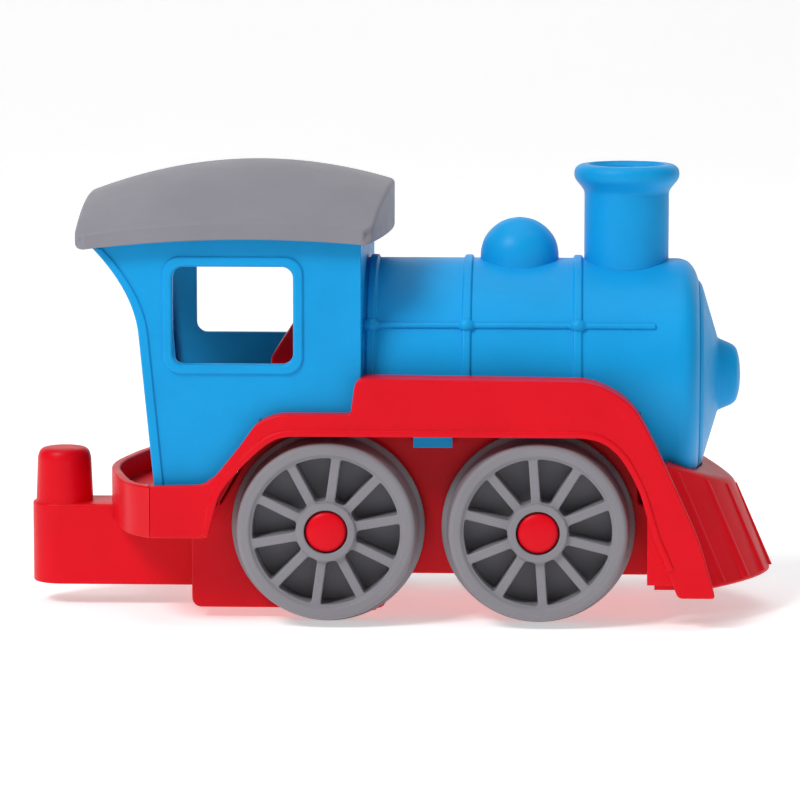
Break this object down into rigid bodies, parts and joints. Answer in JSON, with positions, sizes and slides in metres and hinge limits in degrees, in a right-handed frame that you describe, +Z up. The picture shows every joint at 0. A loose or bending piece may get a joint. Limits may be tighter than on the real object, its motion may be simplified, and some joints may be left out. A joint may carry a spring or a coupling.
{
  "type": "toy steam locomotive",
  "caption": "Push-along toy steam locomotive: red chassis with fenders, cowcatcher and peg coupling, blue cab and boiler, grey roof and spoked wheels that roll.",
  "frame": {"origin": "on the ground, under the middle of the bounding box's length and width", "axes": "+X to the engine's front (cowcatcher), +Y to its left side, +Z up"},
  "size_m": [0.2449, 0.1028, 0.1469],
  "materials": {
    "red_plastic": "satin moulded plastic",
    "blue_plastic": "satin moulded plastic",
    "grey_plastic": "satin moulded plastic",
    "wheel_plastic": "satin moulded plastic",
    "steel": "zinc-plated steel"
  },
  "bodies": {
    "root": {"fender_right": "red_plastic", "fender_left": "red_plastic", "rear_tray": "red_plastic", "deck": "red_plastic", "underframe": "red_plastic", "coupling_arm": "red_plastic", "cowcatcher": "red_plastic", "cab_console": "red_plastic", "front_axle_keeper": "red_plastic", "rear_axle_keeper": "red_plastic", "body_right": "blue_plastic", "body_left": "blue_plastic", "smokebox_door": "blue_plastic", "chimney": "blue_plastic", "roof": "grey_plastic", "rear_keeper_screw_1": "steel", "rear_keeper_screw_2": "steel", "front_keeper_screw_1": "steel", "front_keeper_screw_2": "steel", "body_screw_1": "steel", "body_screw_2": "steel", "body_screw_3": "steel", "body_screw_4": "steel", "coupling_screw": "steel"},
    "rear_wheelset": {"rear_axle": "steel", "rear_right_wheel": "wheel_plastic", "rear_right_hub_cap": "red_plastic", "rear_left_wheel": "wheel_plastic", "rear_left_hub_cap": "red_plastic"},
    "front_wheelset": {"front_axle": "steel", "front_right_wheel": "wheel_plastic", "front_right_hub_cap": "red_plastic", "front_left_wheel": "wheel_plastic", "front_left_hub_cap": "red_plastic"}
  },
  "joints": [
    {"name": "rear_axle_spin", "type": "hinge", "parent": "root", "child": "rear_wheelset", "pos_m": [-0.02255, 0, 0.0314], "axis": [0, 1, 0], "continuous": true},
    {"name": "front_axle_spin", "type": "hinge", "parent": "root", "child": "front_wheelset", "pos_m": [0.04525, 0, 0.0314], "axis": [0, 1, 0], "continuous": true}
  ]
}
